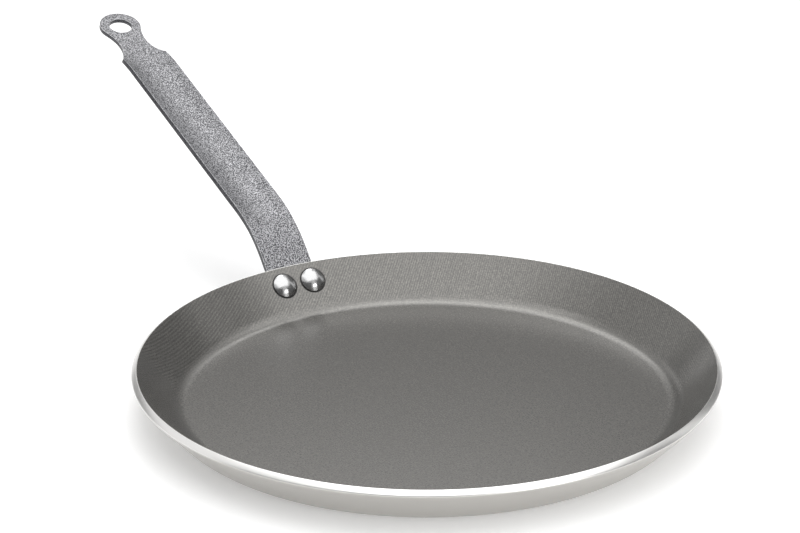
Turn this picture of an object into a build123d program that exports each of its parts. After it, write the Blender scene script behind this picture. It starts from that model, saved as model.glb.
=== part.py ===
from build123d import *
from math import asin, atan, ceil, cos, degrees, radians, sin, sqrt, tan
import os

# A crepe pan: a shallow pressed aluminium pan with a non-stick lining, and a formed steel strip
# for a handle, held by two rivets. Lengths are in millimetres and angles in degrees.
# The origin is the middle of the base on the table, +Z is up and the handle runs along +X.

# Pan body
rim_diameter = 300.0
rim_height = 25.2
sheet = 4.0
wall_slope = 47.0
floor_corner_radius = 12.0
rim_outer_bevel = 0.5
rim_inner_bevel = 0.25

# Lining
lining_thickness = 0.15

# Rivets: they share the width of the strip, so their heads and tails follow it
rivet_to_strip_edge = 5.05
gap_between_heads = 3.9
tail_to_strip_edge = 0.55
shank_diameter = 6.0
shank_clearance = 0.1
head_height = 3.2
head_edge = 0.7
tail_height = 2.2
tail_edge = 0.9

# Handle strip
strip_width = 27.0
strip_thickness = 2.5
strip_edge_bevel = 0.25
bare_wall_under_tab = 2.6
tab_corner_radius = 5.0
straight_above_rim = 8.0
bend_radius = 73.8
handle_slope = 17.1
bend_to_tip = 227.0

# Trough pressed into the strip: it forms over the end of the bend and runs out before the neck
trough_depth = 2.8
bend_to_trough = 14.0
trough_forming_length = 30.0
trough_fading_length = 27.0
trough_to_tip = 30.5

# Neck and hanging ring
waist_to_tip = 29.0
waist_width = 16.5
shoulder_radius = 25.0
ring_diameter = 23.6
hole_to_tip = 12.4
hole_diameter = 13.2

# Longest step between the sections that the strip is lofted through
section_step = 5.0
# How far the strip is sunk into the wall before the wall's shape is cut out of it
seat_depth = 0.05
# How far a cut runs past what it cuts
overrun = 5.0

slope = radians(wall_slope)
rim_radius = rim_diameter / 2
corner_outer_radius = floor_corner_radius + sheet
half_width = strip_width / 2
wall_and_strip = sheet + strip_thickness
rivet_spacing = strip_width - 2 * rivet_to_strip_edge
head_diameter = rivet_spacing - gap_between_heads
tail_diameter = 2 * (rivet_to_strip_edge - tail_to_strip_edge)
ring_radius = ring_diameter / 2
waist_place = bend_to_tip - waist_to_tip
waist_to_ring = waist_to_tip - ring_radius
waist_to_hole = waist_to_tip - hole_to_tip


# The sheet of the pan

def wall_point(depth, drop):
    """A point at a depth inward from the outside of the wall and a drop down the wall."""
    bevel_loss = min(cos(slope), sin(slope))
    corner_x = rim_radius + rim_outer_bevel * bevel_loss
    corner_z = rim_height + rim_inner_bevel * bevel_loss - sheet * cos(slope)
    x = corner_x - depth * sin(slope) - drop * cos(slope)
    z = corner_z + depth * cos(slope) - drop * sin(slope)
    return x, z


def foot_point(depth):
    """The sharp corner where floor and wall would meet, at a depth inward from the outside."""
    x, z = wall_point(depth, 0)
    return x - (z - depth) / tan(slope), depth


def tab_length():
    """How far the strip runs down the straight outside of the wall."""
    x, z = wall_point(0, 0)
    return z / sin(slope) - corner_outer_radius * tan(slope / 2) - bare_wall_under_tab


def layer(outer_depth, inner_depth, rim):
    """A turned layer of the pan between two depths, closed at the top by the points of its rim."""
    outer_foot = foot_point(outer_depth)
    inner_foot = foot_point(inner_depth)
    outline = Polyline((0, outer_depth), outer_foot, *rim, inner_foot, (0, inner_depth), close=True)
    face = make_face(outline)
    for foot, depth in ((outer_foot, outer_depth), (inner_foot, inner_depth)):
        corner = face.vertices().sort_by_distance(foot)[0]
        face = fillet(corner, corner_outer_radius - depth)
    return revolve(Plane.XZ * face, Axis.Z)


def plain_body():
    """The pressed body before its rivet holes are made, with its rim cut square to the wall."""
    rim = [wall_point(0, rim_outer_bevel), wall_point(rim_outer_bevel, 0)]
    rim += [wall_point(sheet - rim_inner_bevel, 0), wall_point(sheet, rim_inner_bevel)]
    return layer(0, sheet, rim)


def plain_lining():
    """The non-stick lining, from the middle of the floor up to the bevel inside the rim."""
    top = sheet + lining_thickness
    return layer(sheet, top, [wall_point(sheet, rim_inner_bevel), wall_point(top, rim_inner_bevel)])


# Rivets

def rivet_place(side):
    """A rivet's axis, square to the wall at the middle of the tab, from the inside of the sheet."""
    x, z = wall_point(sheet, tab_length() / 2)
    turn = degrees(asin(rivet_spacing / 2 / x))
    axis = Plane(origin=(x, 0, z), x_dir=(0, 1, 0), z_dir=(-sin(slope), 0, cos(slope)))
    return Rot(0, 0, side * turn) * axis.location


def rivet_hole(place):
    return place * Cylinder(shank_diameter / 2 + shank_clearance, 2 * (wall_and_strip + overrun))


def head_button():
    """A rivet's head: a low dome over a short upright edge, which also reaches below its seat."""
    radius = head_diameter / 2
    rise = head_height - head_edge
    ball = (radius * radius + rise * rise) / (2 * rise)
    halfway = (radius / 2, head_height - ball + sqrt(ball * ball - radius * radius / 4))
    dome = ThreePointArc((radius, head_edge), halfway, (0, head_height))
    sides = Polyline((0, head_height), (0, -head_edge), (radius, -head_edge), (radius, head_edge))
    return revolve(Plane.XZ * make_face(dome + sides), Axis.Z)


def tail_button():
    """A rivet's tail, pressed to a flat button whose side slopes at 45 degrees over its edge."""
    radius = tail_diameter / 2
    flat = radius - (tail_height - tail_edge)
    side = [(radius, -tail_edge), (radius, tail_edge), (flat, tail_height)]
    outline = Polyline((0, -tail_edge), *side, (0, tail_height), close=True)
    return revolve(Plane.XZ * make_face(outline), Axis.Z)


def rivet(place, wall, strip):
    """A rivet with its head seated on the wall's lining and its tail set against the strip."""
    head = place * Pos(0, 0, lining_thickness) * head_button()
    turned_over = Pos(0, 0, -wall_and_strip) * Rot(180, 0, 0)
    tail = place * turned_over * tail_button()
    length = wall_and_strip + head_edge + tail_edge
    shank = Cylinder(shank_diameter / 2, length, align=(Align.CENTER, Align.CENTER, Align.MAX))
    shank = place * Pos(0, 0, head_edge) * shank
    return (head - wall) + (tail - strip) + shank


# Handle strip

def eased(place, start, end):
    """A smooth step from 0 to 1 between two places."""
    share = min(max((place - start) / (end - start), 0), 1)
    return share * share * (3 - 2 * share)


def seat_rise():
    """How far the strip's edges stand above its middle where it hugs the conical wall."""
    x, z = wall_point(0, tab_length() / 2)
    return half_width * half_width * sin(slope) / (2 * x)


def middle_sink(place):
    """How far the middle of the strip lies under the line of its edges."""
    formed = eased(place, bend_to_trough, bend_to_trough + trough_forming_length)
    return seat_rise() + (trough_depth - seat_rise()) * formed


def edge_rise(place):
    """How far the edges of the strip stand above its middle."""
    trough_end = bend_to_tip - trough_to_tip
    return middle_sink(place) * (1 - eased(place, trough_end - trough_fading_length, trough_end))


def strip_plane(place):
    """The plane across the strip, with its origin on the middle of the top face."""
    start_x, start_z = wall_point(seat_rise() + seat_depth, -straight_above_rim)
    centre_x = start_x + bend_radius * sin(slope)
    centre_z = start_z - bend_radius * cos(slope)
    bend_length = bend_radius * radians(wall_slope - handle_slope)
    along_bend = min(max(place, 0), bend_length)
    angle = slope - along_bend / bend_radius
    along = place - along_bend
    out = bend_radius - middle_sink(place)
    x = centre_x - out * sin(angle) + along * cos(angle)
    z = centre_z + out * cos(angle) + along * sin(angle)
    return Plane(origin=(x, 0, z), x_dir=(0, 1, 0), z_dir=(cos(angle), 0, sin(angle)))


def strip_section(place):
    """The strip across its width: a shallow trough of even thickness with square edges."""
    rise = edge_rise(place)
    tilt = atan(2 * rise / half_width)
    low_x = half_width + strip_thickness * sin(tilt)
    low_z = rise - strip_thickness * cos(tilt)
    top = Bezier((-half_width, rise), (0, -rise), (half_width, rise))
    right = Line((half_width, rise), (low_x, low_z))
    bottom = Bezier((low_x, low_z), (0, low_z - low_x * tan(tilt)), (-low_x, low_z))
    left = Line((-low_x, low_z), (-half_width, rise))
    return strip_plane(place) * make_face(top + right + bottom + left)


def blank_strip():
    """The formed strip at its full width, from the end of its tab to beyond its tip."""
    start = -(tab_length() + straight_above_rim)
    length = bend_to_tip + overrun - start
    steps = ceil(length / section_step)
    return loft([strip_section(start + length * step / steps) for step in range(steps + 1)])


def tip_plane():
    """The flat top face of the neck, with X along the handle and its origin at the waist."""
    across = strip_plane(waist_place)
    return Plane(origin=across.origin, x_dir=across.z_dir, z_dir=across.y_dir)


def tip_outline():
    """The neck and ring: two hollow arcs meet at the waist and run into the ring."""
    waist = waist_width / 2
    side = half_width + strip_thickness
    fall = shoulder_radius - (side - waist)
    shoulder = (-sqrt(shoulder_radius * shoulder_radius - fall * fall), side)
    squares = waist_to_ring * waist_to_ring + waist * waist - ring_radius * ring_radius
    neck_radius = squares / (2 * (ring_radius - waist))
    reach = ring_radius / (ring_radius + neck_radius)
    touch = (waist_to_ring * (1 - reach), (waist + neck_radius) * reach)
    shoulder_arc = TangentArc((0, waist), shoulder, tangent=(-1, 0))
    neck_arc = TangentArc((0, waist), touch, tangent=(1, 0))
    half = shoulder_arc + neck_arc
    tip = ThreePointArc(touch, (waist_to_tip, 0), (touch[0], -touch[1]))
    end = Line(shoulder, (shoulder[0], -shoulder[1]))
    return make_face(half + mirror(half, about=Plane.XZ) + tip + end)


def tip_waste():
    """What is cut away beside the neck and around the ring."""
    outline = tip_outline()
    shoulder = outline.bounding_box().min.X
    length = waist_to_tip + 2 * overrun - shoulder
    width = strip_width + 2 * strip_thickness
    around = Pos(shoulder, 0) * Rectangle(length, width, align=(Align.MIN, Align.CENTER))
    reach = trough_depth + strip_thickness + overrun
    return extrude(tip_plane() * (around - outline), amount=reach, both=True)


def trimmed_strip():
    """The formed strip with its neck, ring and hanging hole cut and all its long edges bevelled."""
    hole = Cylinder(hole_diameter / 2, 2 * (strip_thickness + overrun))
    hole = tip_plane() * Pos(waist_to_hole, 0) * hole
    strip = blank_strip() - tip_waste() - hole
    tab_corners = strip.edges().filter_by(runs_through).sort_by(Axis.X)[:2]
    strip = fillet(tab_corners, tab_corner_radius)
    long_edges = [edge for edge in strip.edges() if not runs_through(edge)]
    return chamfer(long_edges, strip_edge_bevel)


def runs_through(edge):
    """Whether an edge only runs through the thickness of the strip."""
    return edge.length < strip_thickness + strip_edge_bevel


# Assembly

wall = plain_body()
lining = plain_lining()
strip = trimmed_strip() - wall
rivet_places = {"left": rivet_place(1), "right": rivet_place(-1)}
holes = [rivet_hole(place) for place in rivet_places.values()]

parts = {
    "pan_body": wall - holes,
    "nonstick_lining": lining - holes,
    "handle": strip - holes,
}
for side, place in rivet_places.items():
    parts["rivet_" + side] = rivet(place, wall + lining, strip)

os.makedirs("parts", exist_ok=True)
for name, part in parts.items():
    part.label = name
    export_step(part, "parts/" + name + ".step")
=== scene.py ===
from math import acos, asin, atan, ceil, cos, pi, radians, sin, tan

import bmesh
import bpy
from bpy.props import FloatProperty, FloatVectorProperty, PointerProperty
from mathutils import Matrix, Vector


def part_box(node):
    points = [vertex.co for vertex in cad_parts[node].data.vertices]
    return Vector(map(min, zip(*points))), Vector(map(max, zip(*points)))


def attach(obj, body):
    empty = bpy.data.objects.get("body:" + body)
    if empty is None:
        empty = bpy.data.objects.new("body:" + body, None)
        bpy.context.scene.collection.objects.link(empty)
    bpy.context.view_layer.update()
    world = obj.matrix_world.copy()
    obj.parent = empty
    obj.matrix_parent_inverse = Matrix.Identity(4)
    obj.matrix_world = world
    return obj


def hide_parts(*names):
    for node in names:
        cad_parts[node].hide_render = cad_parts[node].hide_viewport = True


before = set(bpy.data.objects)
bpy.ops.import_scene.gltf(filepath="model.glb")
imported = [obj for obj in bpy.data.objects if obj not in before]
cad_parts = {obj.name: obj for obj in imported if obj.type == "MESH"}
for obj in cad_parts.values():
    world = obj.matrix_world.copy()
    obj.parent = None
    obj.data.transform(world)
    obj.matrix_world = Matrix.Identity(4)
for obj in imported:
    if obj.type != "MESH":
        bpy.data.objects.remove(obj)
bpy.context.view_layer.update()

bl_info = {
    "name": "Crepe Pan",
    "version": (1, 0, 0),
    "blender": (4, 5, 0),
    "location": "View3D > Sidebar > Crepe Pan",
    "description": "Builds a riveted crepe pan with a non-stick lining and a formed strip handle",
    "category": "Add Mesh",
}

# Lengths are in metres. The origin is the middle of the base, +Z is up, the handle runs along +X.
MM = 0.001
PAN_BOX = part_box("pan_body")
BODY = "root"


def srgb(hex_colour):
    """The linear colour of an sRGB hex value."""
    channels = [int(hex_colour[place:place + 2], 16) / 255 for place in (1, 3, 5)]
    return tuple(c / 12.92 if c <= 0.04045 else ((c + 0.055) / 1.055) ** 2.4 for c in channels)


def length(name, description, millimetres):
    """A length property, given in millimetres."""
    return FloatProperty(name=name, description=description, default=millimetres * MM, unit="LENGTH")


def angle(name, description, degrees):
    """An angle property, given in degrees."""
    return FloatProperty(name=name, description=description, default=radians(degrees), unit="ROTATION")


def colour(name, description, hex_colour):
    """A colour property, given as an sRGB hex value."""
    return FloatVectorProperty(name=name, description=description, default=srgb(hex_colour),
                               subtype="COLOR", size=3, min=0, max=1)


class PanSizes(bpy.types.PropertyGroup):
    """Sizes of the pressed pan and its lining."""
    rim_radius: FloatProperty(name="Rim radius", description="Radius over the outside of the rim",
                              default=PAN_BOX[1][0], unit="LENGTH")
    rim_height: FloatProperty(name="Rim height", description="Top of the rim over the table",
                              default=PAN_BOX[1][2], unit="LENGTH")
    sheet: length("Sheet", "Thickness of the pressed sheet", 4.0)
    wall_slope: angle("Wall slope", "Slope of the wall over the table", 47.0)
    floor_corner: length("Floor corner", "Inside radius between floor and wall", 12.0)
    rim_outer_round: length("Outer rim round", "Radius of the rim's outer edge", 0.82)
    rim_inner_round: length("Inner rim round", "Radius of the rim's inner edge", 0.41)
    lining: length("Lining", "Thickness of the non-stick lining", 0.15)


class HandleSizes(bpy.types.PropertyGroup):
    """Sizes of the formed strip."""
    width: length("Width", "Width of the strip", 27.0)
    thickness: length("Thickness", "Thickness of the strip", 2.5)
    edge_round: length("Edge round", "Radius of the strip's edges", 0.4)
    bare_wall: length("Bare wall", "Straight wall left bare under the tab", 2.6)
    tab_corner: length("Tab corner", "Radius of the tab's lower corners", 5.0)
    rise: length("Straight above rim", "Straight strip between rim and bend", 8.0)
    bend_radius: length("Bend radius", "Radius of the bend at the strip's top edges", 73.8)
    slope: angle("Handle slope", "Slope of the straight handle", 17.1)
    reach: length("Bend to tip", "Length of the strip from its bend to its tip", 226.92)
    seat_depth: length("Seat depth", "How far the strip is pressed against the wall", 0.01)
    trough_depth: length("Trough depth", "Depth of the trough under the strip's edges", 2.8)
    trough_start: length("Bend to trough", "Where the trough starts to form", 14.0)
    trough_forming: length("Trough forming", "Length over which the trough forms", 30.0)
    trough_fading: length("Trough fading", "Length over which the trough runs out", 27.0)
    trough_to_tip: length("Trough to tip", "Flat length left at the tip", 30.5)
    waist_to_tip: length("Waist to tip", "Narrowest place of the neck, from the tip", 29.0)
    waist_width: length("Waist width", "Width at the narrowest place", 16.5)
    shoulder_radius: length("Shoulder radius", "Radius of the hollow between shoulder and waist", 25.0)
    ring: length("Ring", "Outside diameter of the hanging ring", 23.6)
    hole_to_tip: length("Hole to tip", "Middle of the hanging hole, from the tip", 12.4)
    hole: length("Hole", "Diameter of the hanging hole", 13.2)


class RivetSizes(bpy.types.PropertyGroup):
    """Sizes of the two rivets."""
    to_strip_edge: length("Rivet to strip edge", "Middle of a rivet, from the strip's edge", 5.05)
    gap: length("Gap", "Gap between the two heads", 3.9)
    shank: length("Shank", "Diameter of the shank", 6.0)
    head_height: length("Head height", "Height of the head over the lining", 3.2)
    head_edge: length("Head edge", "Height of the head's upright edge", 0.7)
    seam: length("Seam", "Width of the dark seam round the head", 0.75)
    tail_to_strip_edge: length("Tail to strip edge", "Edge of the tail, from the strip's edge", 0.55)
    tail_height: length("Tail height", "Height of the formed tail", 2.2)
    tail_edge: length("Tail edge", "Height of the tail's upright edge", 0.9)


class Finishes(bpy.types.PropertyGroup):
    """Colours of the finishes."""
    aluminium: colour("Aluminium", "Outside of the pressed sheet", "#CBC9C5")
    # Partly painted highlight: this lighter colour goes on every face that looks up, which shows only at the
    # rim
    cut_rim_and_highlight: colour("Cut rim", "Freshly cut aluminium at the rim", "#E4E3E1")
    rivet: colour("Rivet aluminium", "Bright rivet wire", "#ACACAC")
    lining: colour("Lining", "Cured non-stick coat", "#656462")
    speck: colour("Speck", "Light mineral flakes in the coat", "#7E7C78")
    handle: colour("Handle coat", "High spots of the hammered epoxy", "#A2A2A5")
    handle_pit: colour("Handle pits", "Dark lows of the hammered epoxy", "#323236")
    handle_edge: colour("Handle edge", "High spots on the strip's cut edge", "#58585C")
    handle_pit_edge: colour("Edge pits", "Dark lows on the strip's cut edge", "#28282C")
    # Painted highlight: a lighter coat on the strip's rounded edges that stands in for the bright line their
    # rounding catches
    handle_edge_highlight: colour("Worn edge", "High spots rubbed bright along the strip's edges", "#D8D8DA")
    # Partly painted shade: squeezed coat round a rivet's head, darkened to near black for the shade of the
    # gap under the head
    seam: colour("Seam", "Squeezed coat round a rivet's head", "#1E1D1C")


class Stage(bpy.types.PropertyGroup):
    """Place and lens of the camera."""
    camera_distance: length("Camera distance", "Camera to the middle of the base", 2000.0)
    camera_turn: angle("Camera turn", "Turn of the camera from the handle, seen from above", 150.48)
    camera_rise: angle("Camera rise", "Height of the camera over the table as an angle", 24.775)
    lens: FloatProperty(name="Lens", description="Focal length for a 36 mm sensor",
                        default=176.17, unit="CAMERA")


def settings():
    """The scene's settings of the crepe pan."""
    return bpy.context.scene.crepe_pan


def new_object(name, data, node=None):
    """An object in the scene, which rides on the pan where it stands for a node of the frame."""
    piece = bpy.data.objects.new(name, data)
    bpy.context.scene.collection.objects.link(piece)
    if node:
        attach(piece, BODY)
        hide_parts(node)
    return piece


def mesh_data(name, mesh):
    """Mesh data from a bmesh, which is freed."""
    data = bpy.data.meshes.new(name)
    mesh.to_mesh(data)
    mesh.free()
    return data


# Round pieces

TURNED_MAP = "turned"
# A point nearer to the axis than this lies on it
ON_AXIS = 1e-7
SHARP_ANGLE = radians(32)


def arc(centre, radius, start, end, steps):
    """Points along an arc in a side view, with angles in radians counted from the outward axis."""
    turns = [start + (end - start) * step / steps for step in range(steps + 1)]
    return [(centre[0] + radius * cos(turn), centre[1] + radius * sin(turn)) for turn in turns]


def turned(name, outline, segments):
    """A closed turned mesh from an outline that starts and ends on the axis.

    Its map runs once round the axis in U and follows the outline in V."""
    mesh = bmesh.new()
    rings = []
    for x, z in outline:
        if abs(x) < ON_AXIS:
            rings.append([mesh.verts.new((0, 0, z))] * segments)
            continue
        ring = []
        for step in range(segments):
            turn = 2 * pi * step / segments
            ring.append(mesh.verts.new((x * cos(turn), x * sin(turn), z)))
        rings.append(ring)
    turned_map = mesh.loops.layers.uv.new(TURNED_MAP)
    for row, (low, high) in enumerate(zip(rings, rings[1:])):
        for step in range(segments):
            after = (step + 1) % segments
            corners = [low[step], low[after], high[after], high[step]]
            places = [(step, row), (step + 1, row), (step + 1, row + 1), (step, row + 1)]
            kept = [number for number, corner in enumerate(corners) if corner not in corners[:number]]
            face = mesh.faces.new([corners[number] for number in kept])
            for loop, number in zip(face.loops, kept):
                across, along = places[number]
                loop[turned_map].uv = (across / segments, along / len(outline))
    return finished_mesh(name, mesh)


def finished_mesh(name, mesh):
    """Smooth-shaded mesh data from a bmesh, with its faces outward."""
    bmesh.ops.recalc_face_normals(mesh, faces=mesh.faces)
    data = mesh_data(name, mesh)
    data.shade_smooth()
    data.set_sharp_from_angle(angle=SHARP_ANGLE)
    return data


def wall_point(pan, depth, drop):
    """A point at a depth inward from the outside of the wall and a drop down the wall."""
    slope = pan.wall_slope
    # A square corner stands this many radii further out, and further up, than its round
    lost_to_round = cos(slope) + sin(slope) - 1
    corner_x = pan.rim_radius + pan.rim_outer_round * lost_to_round
    corner_z = pan.rim_height + pan.rim_inner_round * lost_to_round - pan.sheet * cos(slope)
    x = corner_x - depth * sin(slope) - drop * cos(slope)
    z = corner_z + depth * cos(slope) - drop * sin(slope)
    return x, z


PAN_SEGMENTS = 288
CORNER_STEPS = 12
ROUND_STEPS = 5
# Rings on the flat floor, as shares of its radius
FLOOR_RINGS = (0, 0.02, 0.1, 0.3, 0.6, 0.85)
# Points this far inside the ends of a flat stretch keep its shading flat
FLAT_INSET = 0.5 * MM
# How far the lining reaches over the round of the rim's inner edge
LINING_WRAP = radians(25)


def floor_corner(pan, depth):
    """The round corner between floor and wall at a depth, from the floor up."""
    radius = pan.floor_corner + pan.sheet - depth
    wall_x, wall_z = wall_point(pan, depth, 0)
    foot_x = wall_x - (wall_z - depth) / tan(pan.wall_slope)
    centre = (foot_x - radius * tan(pan.wall_slope / 2), pan.floor_corner + pan.sheet)
    return arc(centre, radius, -pi / 2, pan.wall_slope - pi / 2, CORNER_STEPS)


def rounded_rim(pan):
    """The rim edge of the sheet, square to the wall with both edges rounded, from outside in."""
    slope = pan.wall_slope
    outer, inner = pan.rim_outer_round, pan.rim_inner_round
    points = arc(wall_point(pan, outer, outer), outer, slope - pi / 2, slope, ROUND_STEPS)
    depth = pan.sheet - inner
    points += arc(wall_point(pan, depth, inner), inner, slope, slope + pi / 2, ROUND_STEPS)
    return points


def floor_rings(pan, depth, outward):
    """Points across the flat floor, closer together near its middle."""
    reach = floor_corner(pan, depth)[0][0]
    points = [(reach * share, depth) for share in FLOOR_RINGS] + [(reach - FLAT_INSET, depth)]
    return points if outward else points[::-1]


def straight_run(low, high):
    """Two outlines joined by a straight run, with points near its ends that keep its shading flat."""
    start, end = Vector(low[-1]), Vector(high[0])
    inset = (end - start).normalized() * FLAT_INSET
    return low + [tuple(start + inset), tuple(end - inset)] + high


def pan_outline(pan):
    """The pressed sheet's section, from the middle of its base over the rim to the middle of its floor."""
    outside = straight_run(floor_rings(pan, 0, True) + floor_corner(pan, 0), rounded_rim(pan))
    inside = floor_corner(pan, pan.sheet)[::-1] + floor_rings(pan, pan.sheet, False)
    return straight_run(outside, inside)


def lining_outline(pan):
    """The lining's section, carried over the rim's inner edge and thinned to nothing there."""
    top = pan.sheet + pan.lining
    inner = pan.rim_inner_round
    centre = wall_point(pan, pan.sheet - inner, inner)
    start = pan.wall_slope + pi / 2
    under = arc(centre, inner, start, start - LINING_WRAP, ROUND_STEPS)
    over = []
    for step, (x, z) in enumerate(reversed(under)):
        grown = 1 + pan.lining / inner * step / ROUND_STEPS
        over.append((centre[0] + (x - centre[0]) * grown, centre[1] + (z - centre[1]) * grown))
    underside = straight_run(floor_rings(pan, pan.sheet, True) + floor_corner(pan, pan.sheet), under)
    return straight_run(underside + over[1:], floor_corner(pan, top)[::-1] + floor_rings(pan, top, False))


# Handle strip

def tab_length(pan, handle):
    """How far the strip runs down the straight outside of the wall."""
    edge_height = wall_point(pan, 0, 0)[1]
    corner = (pan.floor_corner + pan.sheet) * tan(pan.wall_slope / 2)
    return edge_height / sin(pan.wall_slope) - corner - handle.bare_wall


def eased(place, start, end):
    """A smooth step from 0 to 1 between two places."""
    share = min(max((place - start) / (end - start), 0), 1)
    return share * share * (3 - 2 * share)


class Strip:
    """The surface of the formed strip: places along it are counted from the start of the bend."""

    def __init__(self, pan, handle):
        self.pan = pan
        self.handle = handle
        self.half_width = handle.width / 2
        tab = tab_length(pan, handle)
        wall_radius = wall_point(pan, 0, tab / 2)[0]
        self.seat_rise = self.half_width * self.half_width * sin(pan.wall_slope) / (2 * wall_radius)
        self.start = -(tab + handle.rise)
        self.trough_end = handle.reach - handle.trough_to_tip

    def sink(self, place):
        """How far the middle of the strip lies under the line of its edges."""
        handle = self.handle
        formed = eased(place, handle.trough_start, handle.trough_start + handle.trough_forming)
        return self.seat_rise + (handle.trough_depth - self.seat_rise) * formed

    def rise(self, place):
        """How far the edges of the strip stand above its middle."""
        fading = eased(place, self.trough_end - self.handle.trough_fading, self.trough_end)
        return self.sink(place) * (1 - fading)

    def point(self, place, across, depth):
        """A point of the strip: along it, across it and down from its top face."""
        handle, slope, bend = self.handle, self.pan.wall_slope, self.handle.bend_radius
        start_x, start_z = wall_point(self.pan, self.seat_rise + handle.seat_depth, -handle.rise)
        along_bend = min(max(place, 0), bend * (slope - handle.slope))
        turn = slope - along_bend / bend
        along = place - along_bend
        rise = self.rise(place)
        tilt = atan(2 * rise * across / (self.half_width * self.half_width))
        up = rise * (across / self.half_width) ** 2 - depth * cos(tilt)
        out = bend - self.sink(place) + up
        x = start_x + bend * sin(slope) - out * sin(turn) + along * cos(turn)
        z = start_z - bend * cos(slope) + out * cos(turn) + along * sin(turn)
        return Vector((x, across + depth * sin(tilt), z))


ACROSS_STEPS = 18
CORNER_STEPS_ACROSS = 4
ALONG_STEP = 2.0 * MM
NECK_ROWS = 12
RING_ROWS = 5
RING_STEPS = 56
BEVEL_SEGMENTS = 4
ROUND_PROFILE = 0.5
# The strip's materials: its faces have the first, its edges these two: the cut walls, and the rounded edges,
# lightened as a painted highlight
CUT_EDGE = 1
HIGHLIGHT_EDGE = 2


class StripOutline:
    """The flat outline of the strip as rows of (place, across) and a ring round the hole."""

    def __init__(self, strip):
        handle = strip.handle
        self.strip = strip
        self.handle = handle
        self.ring_radius = handle.ring / 2
        self.half_waist = handle.waist_width / 2
        self.waist_place = handle.reach - handle.waist_to_tip
        self.ring_place = handle.reach - self.ring_radius
        gap = self.ring_place - self.waist_place
        squares = gap * gap + self.half_waist * self.half_waist - self.ring_radius * self.ring_radius
        self.neck_radius = squares / (2 * (self.ring_radius - self.half_waist))
        self.neck_turn = asin(gap / (self.neck_radius + self.ring_radius))
        fall = handle.shoulder_radius - (strip.half_width - self.half_waist)
        self.shoulder_turn = acos(fall / handle.shoulder_radius)

    def straight_row(self, place, half):
        """Points straight across the strip."""
        shares = [2 * step / ACROSS_STEPS - 1 for step in range(ACROSS_STEPS + 1)]
        return [(place, half * share) for share in shares]

    def end_row(self):
        """The tab's lower end, round its two corners."""
        corner = self.handle.tab_corner
        flat = self.strip.half_width - corner
        turns = [pi / 2 * (1 - step / CORNER_STEPS_ACROSS) for step in range(CORNER_STEPS_ACROSS + 1)]
        left = [(corner * (1 - cos(turn)), -(flat + corner * sin(turn))) for turn in turns]
        steps = ACROSS_STEPS - 2 * CORNER_STEPS_ACROSS
        middle = [(0, flat * (2 * step / steps - 1)) for step in range(1, steps)]
        right = [(along, -across) for along, across in reversed(left)]
        return [(self.strip.start + along, across) for along, across in left + middle + right]

    def neck_row(self, share):
        """Points across the neck between waist and ring, bowed to meet the ring's circle."""
        turn = self.neck_turn * share
        edge_place = self.waist_place + self.neck_radius * sin(turn)
        edge = self.half_waist + self.neck_radius * (1 - cos(turn))
        touch = pi / 2 - self.neck_turn
        row = []
        for step in range(ACROSS_STEPS + 1):
            side = 2 * step / ACROSS_STEPS - 1
            bow = self.ring_radius * (cos(touch * side) - cos(touch)) * share
            bowed = sin(touch * side) / sin(touch)
            row.append((edge_place - bow, edge * (bowed * share + side * (1 - share))))
        return row

    def rows(self):
        """All rows from the tab's end to where the neck meets the ring."""
        strip, handle = self.strip, self.handle
        shoulder = self.waist_place - handle.shoulder_radius * sin(self.shoulder_turn)
        first = strip.start + handle.tab_corner
        steps = ceil((shoulder - first) / ALONG_STEP)
        rows = [self.end_row()]
        for step in range(1, steps + 1):
            rows.append(self.straight_row(first + (shoulder - first) * step / steps, strip.half_width))
        for step in range(1, NECK_ROWS + 1):
            turn = self.shoulder_turn * (1 - step / NECK_ROWS)
            half = self.half_waist + handle.shoulder_radius * (1 - cos(turn))
            rows.append(self.straight_row(self.waist_place - handle.shoulder_radius * sin(turn), half))
        for step in range(1, NECK_ROWS + 1):
            rows.append(self.neck_row(step / NECK_ROWS))
        return rows

    def ring_point(self, turn, share):
        """A point of the ring between its edge and its hole; the turn counts from the neck's side."""
        radius = self.ring_radius + (self.handle.hole / 2 - self.ring_radius) * share
        hole_place = self.handle.reach - self.handle.hole_to_tip
        middle = self.ring_place + (hole_place - self.ring_place) * share
        return middle - radius * cos(turn), radius * sin(turn)

    def ring_circles(self):
        """Circles from the ring's edge to its hole, each starting at one side of the neck."""
        touch = pi / 2 - self.neck_turn
        turns = [touch * (2 * step / ACROSS_STEPS - 1) for step in range(ACROSS_STEPS + 1)]
        rest = 2 * pi - 2 * touch
        turns += [touch + rest * step / RING_STEPS for step in range(1, RING_STEPS)]
        shares = [step / RING_ROWS for step in range(RING_ROWS + 1)]
        return [[self.ring_point(turn, share) for turn in turns] for share in shares]


def flat_strip(outline):
    """The strip's outline as flat (place, across) points and faces."""
    points, faces, row_numbers = [], [], []
    for row in outline.rows():
        row_numbers.append(range(len(points), len(points) + len(row)))
        points.extend(row)
    for low, high in zip(row_numbers, row_numbers[1:]):
        for step in range(ACROSS_STEPS):
            faces.append((low[step], low[step + 1], high[step + 1], high[step]))
    circles = outline.ring_circles()
    shared = list(row_numbers[-1])
    numbers = shared + list(range(len(points), len(points) + RING_STEPS - 1))
    points.extend(circles[0][len(shared):])
    for circle in circles[1:]:
        inner = list(range(len(points), len(points) + len(circle)))
        points.extend(circle)
        for step in range(len(circle)):
            after = (step + 1) % len(circle)
            faces.append((numbers[step], numbers[after], inner[after], inner[step]))
        numbers = inner
    return points, faces


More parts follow.
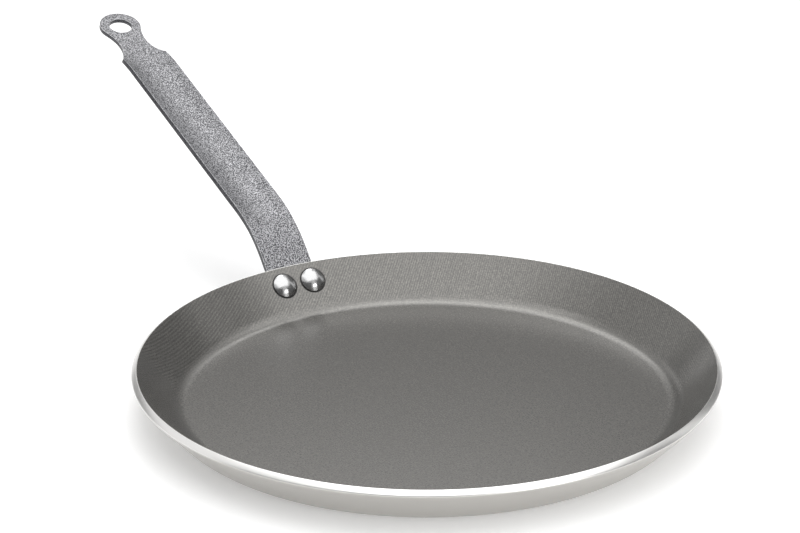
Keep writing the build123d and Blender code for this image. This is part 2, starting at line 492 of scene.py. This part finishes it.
def strip_mesh(strip):
    """The formed strip as a closed mesh with rounded edges."""
    points, faces = flat_strip(StripOutline(strip))
    thickness = strip.handle.thickness
    mesh = bmesh.new()
    top = [mesh.verts.new(strip.point(place, across, 0)) for place, across in points]
    bottom = [mesh.verts.new(strip.point(place, across, thickness)) for place, across in points]
    for face in faces:
        mesh.faces.new([top[number] for number in face])
        mesh.faces.new([bottom[number] for number in reversed(face)])
    # A side that only one face has lies on the outline, and a wall stands on it
    sides = {}
    for face in faces:
        for side in zip(face, face[1:] + face[:1]):
            key = tuple(sorted(side))
            sides[key] = None if key in sides else side
    rims = []
    for first, second in filter(None, sides.values()):
        wall = mesh.faces.new([top[second], top[first], bottom[first], bottom[second]])
        wall.material_index = CUT_EDGE
        long_sides = ({top[first], top[second]}, {bottom[first], bottom[second]})
        rims.extend(edge for edge in wall.edges if set(edge.verts) in long_sides)
    bmesh.ops.recalc_face_normals(mesh, faces=mesh.faces)
    bevel = bmesh.ops.bevel(mesh, geom=rims, offset=strip.handle.edge_round, segments=BEVEL_SEGMENTS,
                            profile=ROUND_PROFILE, affect="EDGES", clamp_overlap=True)
    # The rounded edges get the lighter copy of the coat, a painted highlight
    for face in bevel["faces"]:
        face.material_index = HIGHLIGHT_EDGE
    return finished_mesh("handle", mesh)


# Rivets

RIVET_SEGMENTS = 64
DOME_STEPS = 14
UNDERCUT = 0.15 * MM
# The seam is this many times as wide as it is high
SEAM_FLATNESS = 3
# The rivet has the first material, and its seam this one, a near-black coat with painted shade
SEAM_SHADE_MATERIAL = 1


def dome(radius, height, edge):
    """Points of a low dome from its middle to its upright edge."""
    rise = height - edge
    ball = (radius * radius + rise * rise) / (2 * rise)
    reach = asin(radius / ball)
    turns = [reach * step / DOME_STEPS for step in range(DOME_STEPS + 1)]
    return [(ball * sin(turn), height - ball + ball * cos(turn)) for turn in turns]


def head_radius(handle, rivet):
    """Radius of a head without its seam."""
    return (handle.width - 2 * rivet.to_strip_edge - rivet.gap) / 2


def rivet_outline(pan, handle, rivet):
    """A whole rivet from the middle of its head to the middle of its flat-pressed tail."""
    seat = -(pan.sheet + handle.thickness)
    radius = head_radius(handle, rivet)
    seam_height = rivet.seam / SEAM_FLATNESS
    head = dome(radius, rivet.head_height, rivet.head_edge)
    head += [(radius, seam_height), (radius + rivet.seam / 2, seam_height), (radius + rivet.seam, 0)]
    head = [(x, z + pan.lining) for x, z in head]
    radius = rivet.to_strip_edge - rivet.tail_to_strip_edge
    flat = radius - (rivet.tail_height - rivet.tail_edge)
    tail = [(radius - UNDERCUT, 0), (radius, UNDERCUT), (radius, rivet.tail_edge), (flat, rivet.tail_height),
            (flat / 2, rivet.tail_height), (0, rivet.tail_height)]
    tail = [(x, seat - z) for x, z in tail]
    shank = rivet.shank / 2
    return head + [(shank, pan.lining), (shank, seat)] + tail


def paint_seam_shade(data, radius):
    """Gives the narrow ring round a head its near-black material, squeezed coat with painted shade of the
    gap under the head, while the rivet still stands upright.
    """
    for face in data.polygons:
        out = face.center.xy.length
        if face.center.z > 0 and out > radius:
            face.material_index = SEAM_SHADE_MATERIAL


def bent_to_wall(data, pan, radius, upper, lower):
    """Lays a rivet's flat seats on the round wall, which rises to both sides of the rivet."""
    for vertex in data.vertices:
        if lower < vertex.co.z < upper:
            vertex.co.z += vertex.co.x ** 2 * sin(pan.wall_slope) / (2 * radius)


def rivet_place(pan, handle, rivet, side):
    """The place of a rivet, square to the wall and half way down the tab, and the wall's radius there."""
    x, z = wall_point(pan, pan.sheet, tab_length(pan, handle) / 2)
    turn = side * asin((handle.width / 2 - rivet.to_strip_edge) / x)
    slope = pan.wall_slope
    across = Vector((0, 1, 0))
    outward = Vector((-sin(slope), 0, cos(slope)))
    up_wall = outward.cross(across)
    axes = Matrix((across, up_wall, outward)).transposed().to_4x4()
    return Matrix.Rotation(turn, 4, "Z") @ Matrix.Translation((x, 0, z)) @ axes, x


# Materials

def fill(tree, node, inputs):
    """Fills a node's inputs, each with a value on its own socket or with a link."""
    for name, value in inputs.items():
        if isinstance(value, bpy.types.NodeSocket):
            tree.links.new(value, node.inputs[name])
        else:
            node.inputs[name].default_value = value


def add(tree, kind, inputs=None, **options):
    """Adds a node with its settings and links."""
    node = tree.nodes.new(kind)
    for name, value in options.items():
        setattr(node, name, value)
    fill(tree, node, inputs or {})
    return node


def new_material(name):
    """An empty material with its output and a Principled shader."""
    material = bpy.data.materials.new(name)
    material.use_nodes = True
    tree = material.node_tree
    tree.nodes.clear()
    shader = add(tree, "ShaderNodeBsdfPrincipled")
    add(tree, "ShaderNodeOutputMaterial", {"Surface": shader.outputs["BSDF"]})
    return material, tree, shader


TURNED_LINE = 0.35 * MM
TURNED_DEPTH = 0.02 * MM
TURNED_ROUGHNESS = (0.22, 0.34)
HAZE = 40 * MM
HAZE_ROUGHNESS = 0.06
# The cut rim looks up by more than this share, and the outside of the pan looks down; what looks up gets the
# lighter rim colour, partly a painted highlight
RIM_FACING = 0.2
# Turned lines run round the axis, and reflections smear square to them
QUARTER_TURN_SHARE = 0.25


def pressed_aluminium(finish):
    """Aluminium sheet, pressed to shape, its outside turned on a lathe and its rim cut bright and lightened
    further as a painted highlight.

    The eye sees a pale satin metal whose reflections smear across fine turned lines."""
    material, tree, shader = new_material("pressed_aluminium")
    place = add(tree, "ShaderNodeTexCoord").outputs["Object"]
    flat = add(tree, "ShaderNodeVectorMath", {0: place, 1: (1, 1, 0)}, operation="MULTIPLY")
    radius = add(tree, "ShaderNodeVectorMath", {0: flat.outputs[0]}, operation="LENGTH")
    parts = add(tree, "ShaderNodeSeparateXYZ", {0: place})
    rings = add(tree, "ShaderNodeCombineXYZ", {"X": radius.outputs["Value"], "Y": parts.outputs["Z"]})
    lines = add(tree, "ShaderNodeTexNoise", {"Vector": rings.outputs[0], "Scale": 1 / TURNED_LINE,
                                             "Detail": 3.0, "Roughness": 0.6})
    haze = add(tree, "ShaderNodeTexNoise", {"Vector": place, "Scale": 1 / HAZE, "Detail": 2.0})
    rough = add(tree, "ShaderNodeMapRange", {"Value": lines.outputs["Fac"], "To Min": TURNED_ROUGHNESS[0],
                                             "To Max": TURNED_ROUGHNESS[1]})
    worn = add(tree, "ShaderNodeMath", {0: haze.outputs["Fac"], 1: HAZE_ROUGHNESS, 2: rough.outputs[0]},
               operation="MULTIPLY_ADD")
    bump = add(tree, "ShaderNodeBump", {"Strength": 0.25, "Distance": TURNED_DEPTH,
                                        "Height": lines.outputs["Fac"]})
    round_axis = add(tree, "ShaderNodeTangent", direction_type="UV_MAP", uv_map=TURNED_MAP)
    normal = add(tree, "ShaderNodeNewGeometry").outputs["Normal"]
    facing = add(tree, "ShaderNodeSeparateXYZ", {0: normal})
    # Faces that look up, in effect the rim, take the lighter colour, partly a painted highlight
    upward = add(tree, "ShaderNodeMapRange", {"Value": facing.outputs["Z"], "From Max": RIM_FACING})
    skin = add(tree, "ShaderNodeMix", {"Factor": upward.outputs[0], "A": (*finish.aluminium, 1),
                                       "B": (*finish.cut_rim_and_highlight, 1)}, data_type="RGBA")
    fill(tree, shader, {"Base Color": skin.outputs["Result"], "Metallic": 1, "Roughness": worn.outputs[0],
                        "Anisotropic": 0.5, "Anisotropic Rotation": QUARTER_TURN_SHARE,
                        "Tangent": round_axis.outputs[0], "Normal": bump.outputs[0]})
    return material


# Flakes are nearer 0.1 mm in a real coat, which is too fine to show
FLAKE = 0.8 * MM
# The noise between these values shades from the plain coat to a flake
FLAKE_NOISE = (0.4, 0.75)
GRAIN_DEPTH = 0.02 * MM
ROLLED_LINE = 1.2 * MM
ROLLED_LINE_LENGTH = 20 * MM
# A wave texture of scale 1 has 20 bands in 2 pi units
BAND_PER_UNIT = 2 * pi / 20
ROLLING_TURN = radians(-51.5)
LINE_CONTRAST = 0.3
# How far the coat looks up where its lines start to show, and where they show in full
LINE_FACING = (0.95, 0.75)


def nonstick_coating(finish):
    """Cured fluoropolymer coat with fine mineral flakes, sprayed on rolled sheet.

    The eye sees a warm grey with a soft metallic sheen, a fine grain, and on the wall the
    sheet's straight rolling lines under the coat."""
    material, tree, shader = new_material("nonstick_coating")
    place = add(tree, "ShaderNodeTexCoord").outputs["Object"]
    flakes = add(tree, "ShaderNodeTexNoise", {"Vector": place, "Scale": 1 / FLAKE, "Detail": 2.0})
    share = add(tree, "ShaderNodeMapRange", {"Value": flakes.outputs["Fac"], "From Min": FLAKE_NOISE[0],
                                             "From Max": FLAKE_NOISE[1]})
    flecked = add(tree, "ShaderNodeMix", {"Factor": share.outputs[0], "A": (*finish.lining, 1),
                                          "B": (*finish.speck, 1)}, data_type="RGBA")
    stretch = (ROLLED_LINE_LENGTH, ROLLED_LINE, ROLLED_LINE_LENGTH)
    rolled = add(tree, "ShaderNodeMapping", {"Vector": place, "Scale": stretch,
                                             "Rotation": (0, 0, ROLLING_TURN)}, vector_type="TEXTURE")
    lines = add(tree, "ShaderNodeTexWave", {"Vector": rolled.outputs["Vector"], "Scale": BAND_PER_UNIT,
                                            "Distortion": 2.0, "Detail": 1.0, "Detail Scale": 3.0},
                bands_direction="Y")
    normal = add(tree, "ShaderNodeNewGeometry").outputs["Normal"]
    facing = add(tree, "ShaderNodeSeparateXYZ", {0: normal})
    on_wall = add(tree, "ShaderNodeMapRange", {"Value": facing.outputs["Z"], "From Min": LINE_FACING[0],
                                               "From Max": LINE_FACING[1], "To Max": LINE_CONTRAST})
    level = add(tree, "ShaderNodeMath", {0: lines.outputs["Fac"], 1: 0.5}, operation="SUBTRACT")
    shade = add(tree, "ShaderNodeMath", {0: level.outputs[0], 1: on_wall.outputs[0], 2: 1.0},
                operation="MULTIPLY_ADD")
    lined = add(tree, "ShaderNodeHueSaturation", {"Color": flecked.outputs["Result"],
                                                  "Value": shade.outputs[0]})
    grain = add(tree, "ShaderNodeBump", {"Strength": 0.25, "Distance": GRAIN_DEPTH,
                                         "Height": flakes.outputs["Fac"]})
    fill(tree, shader, {"Base Color": lined.outputs[0], "Metallic": 0.6, "Roughness": 0.25, "IOR": 1.38,
                        "Normal": grain.outputs[0]})
    return material


HAMMER_CELL = 0.62 * MM
HAMMER_DEPTH = 0.12 * MM
# The noise between these values shades from a dark low to a light dome
HAMMER_NOISE = (0.42, 0.58)


def hammered_epoxy(name, high, low):
    """Grey hammered epoxy powder with aluminium flakes, baked on strip steel.

    The eye sees a strong fine mottle: dark lows between small light domes, with a soft sheen."""
    material, tree, shader = new_material(name)
    place = add(tree, "ShaderNodeTexCoord").outputs["Object"]
    cells = add(tree, "ShaderNodeTexNoise", {"Vector": place, "Scale": 1 / HAMMER_CELL, "Detail": 1.0,
                                             "Roughness": 0.5})
    height = add(tree, "ShaderNodeMapRange", {"Value": cells.outputs["Fac"], "From Min": HAMMER_NOISE[0],
                                              "From Max": HAMMER_NOISE[1]})
    mottle = add(tree, "ShaderNodeMix", {"Factor": height.outputs[0], "A": (*low, 1), "B": (*high, 1)},
                 data_type="RGBA")
    bump = add(tree, "ShaderNodeBump", {"Strength": 0.8, "Distance": HAMMER_DEPTH,
                                        "Height": height.outputs[0]})
    fill(tree, shader, {"Base Color": mottle.outputs["Result"], "Metallic": 0.4, "Roughness": 0.3,
                        "Normal": bump.outputs[0]})
    return material


SCUFF = 1.2 * MM
SCUFF_DEPTH = 0.02 * MM
SCUFF_ROUGHNESS = (0.12, 0.22)


def bright_aluminium(finish):
    """Cold-headed aluminium wire, polished on a spinning wheel.

    The eye sees bright and dark wedges that meet at the middle of the dome, over faint scuffs."""
    material, tree, shader = new_material("bright_aluminium")
    place = add(tree, "ShaderNodeTexCoord").outputs["Object"]
    scuffs = add(tree, "ShaderNodeTexNoise", {"Vector": place, "Scale": 1 / SCUFF, "Detail": 3.0})
    rough = add(tree, "ShaderNodeMapRange", {"Value": scuffs.outputs["Fac"], "To Min": SCUFF_ROUGHNESS[0],
                                             "To Max": SCUFF_ROUGHNESS[1]})
    bump = add(tree, "ShaderNodeBump", {"Strength": 0.15, "Distance": SCUFF_DEPTH,
                                        "Height": scuffs.outputs["Fac"]})
    round_axis = add(tree, "ShaderNodeTangent", direction_type="UV_MAP", uv_map=TURNED_MAP)
    fill(tree, shader, {"Base Color": (*finish.rivet, 1), "Metallic": 1, "Roughness": rough.outputs[0],
                        "Anisotropic": 0.85, "Anisotropic Rotation": QUARTER_TURN_SHARE,
                        "Tangent": round_axis.outputs[0], "Normal": bump.outputs[0]})
    return material


SEAM_CRUMB = 1.2 * MM
SEAM_ROUGHNESS = (0.5, 0.8)


def seam_with_painted_shade(finish):
    """Non-stick coat squeezed up and broken round the foot of a rivet's head, darkened to near black as
    painted shade of the gap under the head.

    The eye sees a thin dark line between the bright head and the coat."""
    material, tree, shader = new_material("seam_with_painted_shade")
    place = add(tree, "ShaderNodeTexCoord").outputs["Object"]
    crumbs = add(tree, "ShaderNodeTexNoise", {"Vector": place, "Scale": 1 / SEAM_CRUMB})
    rough = add(tree, "ShaderNodeMapRange", {"Value": crumbs.outputs["Fac"], "To Min": SEAM_ROUGHNESS[0],
                                             "To Max": SEAM_ROUGHNESS[1]})
    fill(tree, shader, {"Base Color": (*finish.seam, 1), "Roughness": rough.outputs[0]})
    return material


# Stage

WHITE = (1, 1, 1, 1)
SHOWN_RAYS = ("Is Camera Ray", "Is Glossy Ray", "Is Transmission Ray")
WORLD_LIGHT = 0.48


def shown(tree):
    """A value of 1 for rays that show a thing to the camera, in a mirror image or through glass."""
    path = add(tree, "ShaderNodeLightPath")
    share = path.outputs[SHOWN_RAYS[0]]
    for ray in SHOWN_RAYS[1:]:
        larger = add(tree, "ShaderNodeMath", {0: share, 1: path.outputs[ray]}, operation="MAXIMUM")
        share = larger.outputs[0]
    return share


def add_world():
    """A plain white surround: full white where it is shown, softer where it lights the pan."""
    world = bpy.data.worlds.new("studio")
    bpy.context.scene.world = world
    world.use_nodes = True
    tree = world.node_tree
    tree.nodes.clear()
    strength = add(tree, "ShaderNodeMapRange", {"Value": shown(tree), "To Min": WORLD_LIGHT, "To Max": 1.0})
    light = add(tree, "ShaderNodeBackground", {"Color": WHITE, "Strength": strength.outputs[0]})
    add(tree, "ShaderNodeOutputWorld", {"Surface": light.outputs[0]})


FLOOR_SIZE = 8.0
FLOOR_DIVISIONS = 8
# The floor lies this far under the pan, so that the two don't share one plane
FLOOR_GAP = 0.05 * MM
FLOOR_PAINT = "#F4F4F4"
FLOOR_GLOW = 0.25


def add_floor():
    """A pale floor that reads as white to the camera and still takes the pan's shadow."""
    mesh = bmesh.new()
    bmesh.ops.create_grid(mesh, x_segments=FLOOR_DIVISIONS, y_segments=FLOOR_DIVISIONS, size=FLOOR_SIZE / 2)
    data = mesh_data("floor", mesh)
    floor = new_object("floor", data)
    floor.location.z = -FLOOR_GAP
    material, tree, shader = new_material("studio_floor")
    glow = add(tree, "ShaderNodeMath", {0: shown(tree), 1: FLOOR_GLOW}, operation="MULTIPLY")
    fill(tree, shader, {"Base Color": (*srgb(FLOOR_PAINT), 1), "Roughness": 0.9, "Specular IOR Level": 0,
                        "Emission Color": WHITE, "Emission Strength": glow.outputs[0]})
    data.materials.append(material)


# Each curtain: its name, where it starts and ends, as turns from the handle, and its height
CURTAINS = (
    ("curtain_right", radians(-160), radians(-100), 1.3),
    ("curtain_behind", radians(-84), radians(-50), 1.25),
    ("curtain_back", radians(-50), radians(-8), 0.85),
    ("curtain_low", radians(2), radians(34), 0.5),
    ("curtain_front", radians(70), radians(170), 1.25),
)
CURTAIN_REACH = 1.6
CURTAIN_STEPS = 24
CURTAIN_GREY = "#7C7C7C"


def add_curtains():
    """Grey curtains beside the table, out of the picture, that polished metal reflects."""
    material, tree, shader = new_material("curtain_cloth")
    fill(tree, shader, {"Base Color": (*srgb(CURTAIN_GREY), 1), "Roughness": 1.0})
    for name, start, end, height in CURTAINS:
        mesh = bmesh.new()
        foot = arc((0, 0), CURTAIN_REACH, start, end, CURTAIN_STEPS)
        low = [mesh.verts.new((x, y, 0)) for x, y in foot]
        high = [mesh.verts.new((x, y, height)) for x, y in foot]
        for step in range(CURTAIN_STEPS):
            mesh.faces.new([low[step], low[step + 1], high[step + 1], high[step]])
        data = mesh_data(name, mesh)
        data.materials.append(material)
        curtain = new_object(name, data)
        curtain.visible_camera = False
        curtain.visible_diffuse = False
        curtain.visible_shadow = False


def looking(place, target):
    """The placement of a lamp or camera that looks from a place at a target, upright."""
    turn = (target - place).to_track_quat("-Z", "Y")
    return Matrix.Translation(place) @ turn.to_matrix().to_4x4()


# Each lamp: its name, place, target, size and power
LAMPS = (
    ("overhead_softbox", (-0.11, -0.11, 1.3), (-0.11, -0.11, 0), (1.75, 1.95), 15.0),
    ("back_softbox", (1.095, -0.487, 1.24), (0, 0, 0), (0.6, 0.85), 3.6),
    ("far_softbox", (0.64, -0.2, 1.25), (0.1, -0.06, 0), (0.65, 0.65), 1.3),
    ("side_softbox", (-1.4, -0.36, 0.38), (0, 0, 0), (0.7, 0.5), 4.3),
)


def add_lamps():
    """White softboxes round and over the pan."""
    for name, place, target, size, power in LAMPS:
        lamp = bpy.data.lights.new(name, "AREA")
        lamp.shape = "RECTANGLE"
        lamp.size, lamp.size_y = size
        lamp.energy = power
        softbox = new_object(name, lamp)
        softbox.matrix_world = looking(Vector(place), Vector(target))
        softbox.visible_camera = False


# The picture's size and the place of the base's middle in it, in pixels
PICTURE_WIDTH = 800
PICTURE_CENTRE = (400, 266.5)
BASE_MIDDLE_IN_PICTURE = (426.88, 407.73)
# In millimetres
SENSOR_WIDTH = 36


def add_camera(stage):
    """A camera on the base's middle, then turned so that the middle falls where it should."""
    data = bpy.data.cameras.new("camera")
    data.sensor_width = SENSOR_WIDTH
    data.lens = stage.lens
    camera = new_object("camera", data)
    level = stage.camera_distance * cos(stage.camera_rise)
    place = Vector((level * cos(stage.camera_turn), level * sin(stage.camera_turn),
                    stage.camera_distance * sin(stage.camera_rise)))
    focal = stage.lens * PICTURE_WIDTH / SENSOR_WIDTH
    right = (BASE_MIDDLE_IN_PICTURE[0] - PICTURE_CENTRE[0]) / focal
    down = (BASE_MIDDLE_IN_PICTURE[1] - PICTURE_CENTRE[1]) / focal
    aimed = looking(place, Vector((0, 0, 0)))
    offset = Vector((right, -down, -1)).rotation_difference(Vector((0, 0, -1)))
    camera.matrix_world = aimed @ offset.to_matrix().to_4x4()
    bpy.context.scene.camera = camera


# Operators

class CREPE_PAN_OT_body(bpy.types.Operator):
    """Build the pressed pan body"""
    bl_idname = "crepe_pan.body"
    bl_label = "Pan Body"

    def execute(self, context):
        values = settings()
        data = turned("pan_body_mesh", pan_outline(values.pan), PAN_SEGMENTS)
        data.materials.append(pressed_aluminium(values.finishes))
        new_object("pressed_pan", data, "pan_body")
        return {"FINISHED"}


class CREPE_PAN_OT_lining(bpy.types.Operator):
    """Build the non-stick lining"""
    bl_idname = "crepe_pan.lining"
    bl_label = "Non-stick Lining"

    def execute(self, context):
        values = settings()
        data = turned("lining_mesh", lining_outline(values.pan), PAN_SEGMENTS)
        data.materials.append(nonstick_coating(values.finishes))
        new_object("nonstick_coat", data, "nonstick_lining")
        return {"FINISHED"}


class CREPE_PAN_OT_handle(bpy.types.Operator):
    """Build the formed strip handle"""
    bl_idname = "crepe_pan.handle"
    bl_label = "Strip Handle"

    def execute(self, context):
        values = settings()
        finish = values.finishes
        data = strip_mesh(Strip(values.pan, values.handle))
        for name, high, low in (("hammered_epoxy", finish.handle, finish.handle_pit),
                                ("hammered_epoxy_edge", finish.handle_edge, finish.handle_pit_edge),
                                # The third copy is lighter, a painted highlight for the rounded edges
                                ("hammered_epoxy_painted_highlight", finish.handle_edge_highlight, finish.handle)):
            data.materials.append(hammered_epoxy(name, high, low))
        new_object("strip_handle", data, "handle")
        return {"FINISHED"}


class CREPE_PAN_OT_rivets(bpy.types.Operator):
    """Build the two rivets"""
    bl_idname = "crepe_pan.rivets"
    bl_label = "Rivets"

    def execute(self, context):
        values = settings()
        pan, handle, rivet = values.pan, values.handle, values.rivets
        materials = bright_aluminium(values.finishes), seam_with_painted_shade(values.finishes)
        for name, side in (("left", 1), ("right", -1)):
            data = turned("rivet_" + name + "_mesh", rivet_outline(pan, handle, rivet), RIVET_SEGMENTS)
            place, radius = rivet_place(pan, handle, rivet, side)
            upper = pan.lining + rivet.head_edge / 2
            lower = -(pan.sheet + handle.thickness) - rivet.tail_edge / 2
            paint_seam_shade(data, head_radius(handle, rivet))
            bent_to_wall(data, pan, radius, upper, lower)
            data.transform(place)
            for material in materials:
                data.materials.append(material)
            new_object("domed_rivet_" + name, data, "rivet_" + name)
        return {"FINISHED"}


class CREPE_PAN_OT_stage(bpy.types.Operator):
    """Set up the floor, the curtains, the lamps, the world and the camera"""
    bl_idname = "crepe_pan.stage"
    bl_label = "Studio"

    def execute(self, context):
        add_floor()
        add_curtains()
        add_lamps()
        add_world()
        add_camera(settings().stage)
        context.scene.view_settings.view_transform = "Standard"
        return {"FINISHED"}


class CREPE_PAN_PG_settings(bpy.types.PropertyGroup):
    """All settings of the crepe pan."""
    pan: PointerProperty(type=PanSizes)
    handle: PointerProperty(type=HandleSizes)
    rivets: PointerProperty(type=RivetSizes)
    finishes: PointerProperty(type=Finishes)
    stage: PointerProperty(type=Stage)


class CREPE_PAN_PT_panel(bpy.types.Panel):
    """The crepe pan's pieces in the sidebar"""
    bl_label = "Crepe Pan"
    bl_idname = "CREPE_PAN_PT_panel"
    bl_space_type = "VIEW_3D"
    bl_region_type = "UI"
    bl_category = "Crepe Pan"

    def draw(self, context):
        for operator in OPERATORS:
            self.layout.operator(operator.bl_idname)
        values = settings()
        for group in (values.pan, values.handle, values.rivets, values.finishes, values.stage):
            box = self.layout.box()
            for name in group.__annotations__:
                box.prop(group, name)


GROUPS = (PanSizes, HandleSizes, RivetSizes, Finishes, Stage, CREPE_PAN_PG_settings)
OPERATORS = (CREPE_PAN_OT_body, CREPE_PAN_OT_lining, CREPE_PAN_OT_handle, CREPE_PAN_OT_rivets,
             CREPE_PAN_OT_stage)
CLASSES = GROUPS + OPERATORS + (CREPE_PAN_PT_panel,)


def register():
    """Adds the settings, the operators and the panel to Blender."""
    for each in CLASSES:
        bpy.utils.register_class(each)
    bpy.types.Scene.crepe_pan = PointerProperty(type=CREPE_PAN_PG_settings)


def unregister():
    """Takes them out of Blender again."""
    del bpy.types.Scene.crepe_pan
    for each in reversed(CLASSES):
        bpy.utils.unregister_class(each)


def main():
    """Builds the whole scene."""
    register()
    for operator in OPERATORS:
        group, name = operator.bl_idname.split(".")
        getattr(getattr(bpy.ops, group), name)()


if __name__ == "__main__":
    main()
